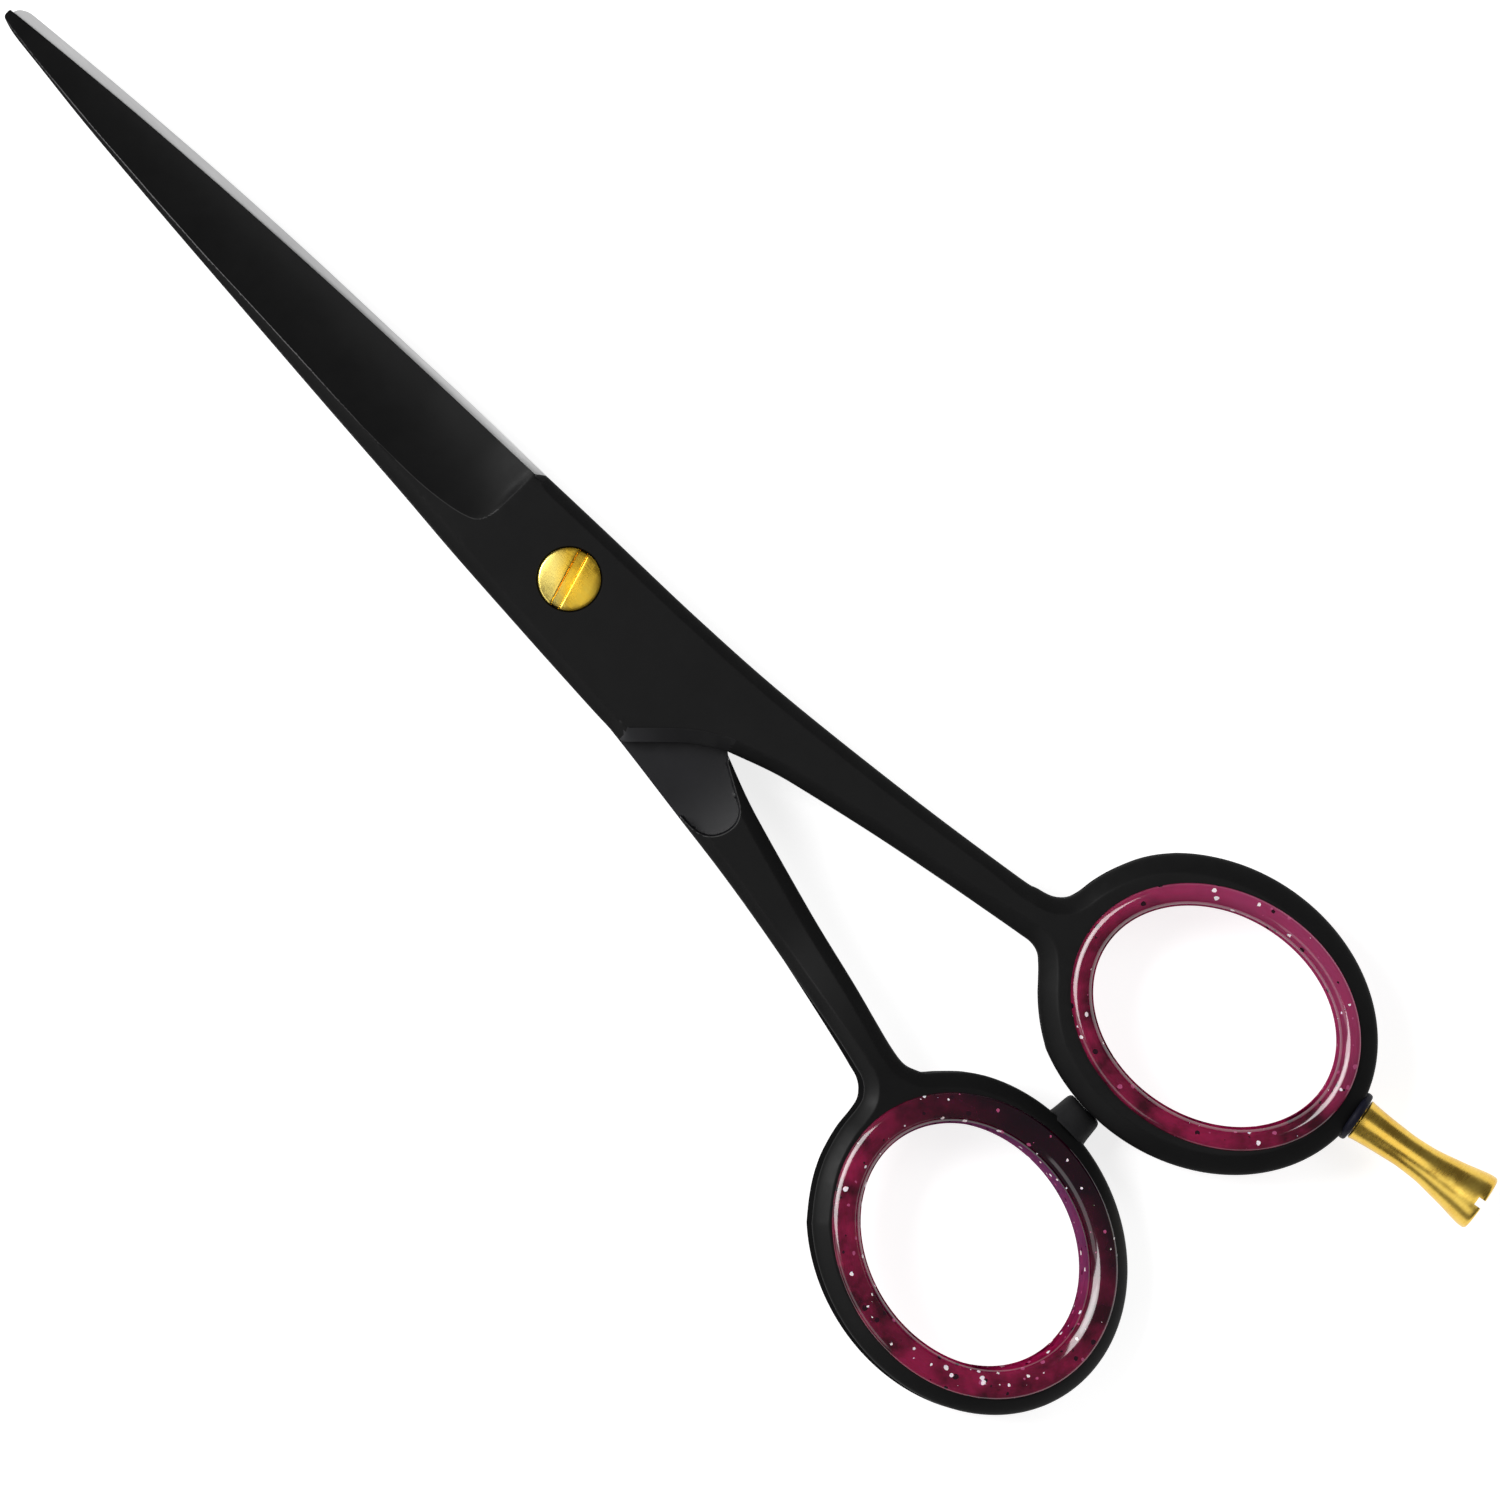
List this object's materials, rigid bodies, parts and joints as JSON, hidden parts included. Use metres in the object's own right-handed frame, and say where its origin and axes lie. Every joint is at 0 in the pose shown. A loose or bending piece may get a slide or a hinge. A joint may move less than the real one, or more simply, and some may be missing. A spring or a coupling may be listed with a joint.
{
  "type": "hair cutting shears",
  "caption": "Black coated barber shears with lapped blades, oval finger rings lined with soft inserts, a slotted tension screw, a rubber bumper and a flared finger rest.",
  "frame": {"origin": "where the pivot axis meets the flat back of the thumb half, at the flush end of the pivot screw, with the shears closed", "axes": "+Z along the pivot axis towards the screw head, +X towards the blade tips, +Y towards the thumb ring"},
  "size_m": [0.1805, 0.0606, 0.0105],
  "materials": {
    "black_coat": "satin black coating on forged steel",
    "glitter_vinyl": "glossy translucent burgundy with glitter",
    "gold_plate": "turned and gold plated",
    "nylon": "natural nylon",
    "spring_steel": "bright spring steel",
    "navy_rubber": "matte",
    "grey_rubber": "matte"
  },
  "bodies": {
    "finger_side": {"finger_half": "black_coat", "finger_ring_insert": "glitter_vinyl", "finger_rest_collar": "navy_rubber", "pivot_bushing": "nylon", "tension_washer": "spring_steel"},
    "thumb_side": {"thumb_half": "black_coat", "thumb_ring_insert": "glitter_vinyl", "bumper": "grey_rubber"},
    "tension_screw": {"pivot_screw": "gold_plate"},
    "finger_rest": {"finger_rest": "gold_plate"}
  },
  "joints": [
    {"name": "blade_pivot", "type": "hinge", "parent": "finger_side", "child": "thumb_side", "pos_m": [0, 0, 0.0027], "axis": [0, 0, -1], "range_deg": [0, 145]},
    {"name": "tension_screw_turn", "type": "hinge", "parent": "thumb_side", "child": "tension_screw", "pos_m": [0, 0, 0.0027], "axis": [0, 0, 1], "range_deg": [-90, 90]},
    {"name": "finger_rest_turn", "type": "hinge", "parent": "finger_side", "child": "finger_rest", "pos_m": [-0.08868, -0.01725, 0.0027], "axis": [-0.9838, -0.179, 0], "range_deg": [0, 360]}
  ]
}
